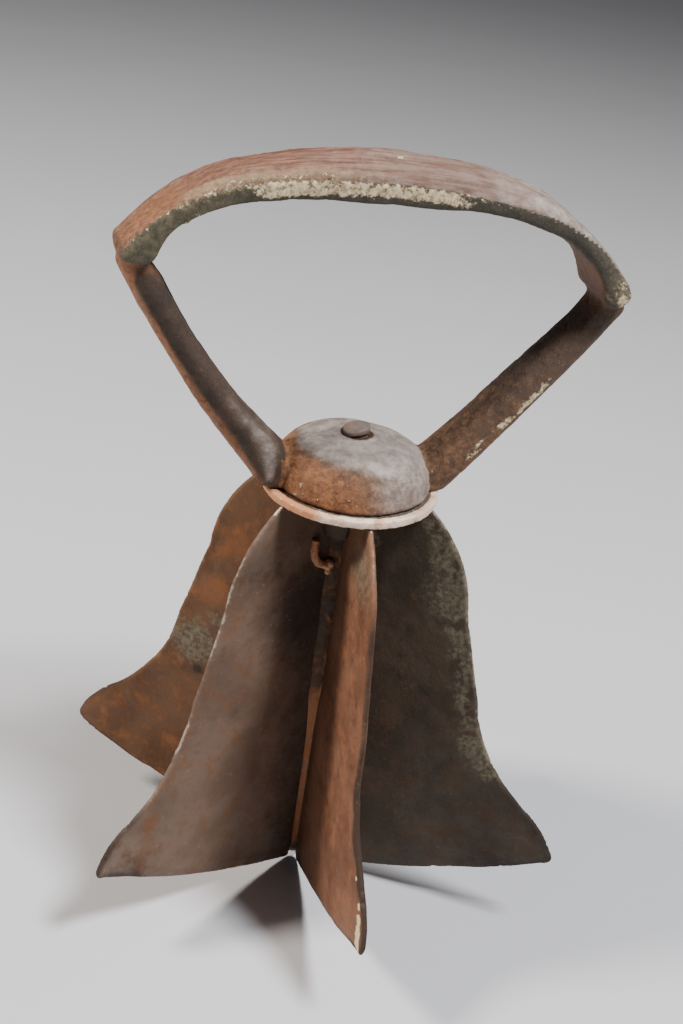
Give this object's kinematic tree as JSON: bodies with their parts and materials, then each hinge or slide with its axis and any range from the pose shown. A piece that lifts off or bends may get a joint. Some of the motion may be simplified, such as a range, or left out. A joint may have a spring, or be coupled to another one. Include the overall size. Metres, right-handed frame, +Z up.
{
  "type": "hand chopper",
  "caption": "Hand food chopper: radial flared sheet-steel blades under a domed cast hub, with two arms and an arched palm grip, held together by one long rivet.",
  "frame": {"origin": "lowest point of the blades on their common axis, at the centre of the object's base", "axes": "+Z up the axis from blades to grip; X along the grip, from lug to lug; Y fore and aft"},
  "size_m": [0.1122, 0.118, 0.1832],
  "materials": {
    "cast_handle": "rusted brown cast iron with remains of green-black and cream paint",
    "rivet_steel": "dull grey hammered steel, lightly rusted",
    "plate_steel": "pale worn steel with a pinkish rust bloom",
    "collar_steel": "dark rusted steel",
    "blade_steel": "rusted sheet steel with bright worn edges",
    "braze": "dull oxidised braze"
  },
  "bodies": {
    "root": {"handle_casting": "cast_handle", "spindle": "rivet_steel", "flange_plate": "plate_steel", "hub_collar": "collar_steel", "blade_1": "blade_steel", "blade_2": "blade_steel", "blade_3": "blade_steel", "blade_4": "blade_steel", "blade_5": "blade_steel", "blade_6": "blade_steel", "braze_fillets": "braze", "braze_drip": "braze"}
  },
  "joints": []
}
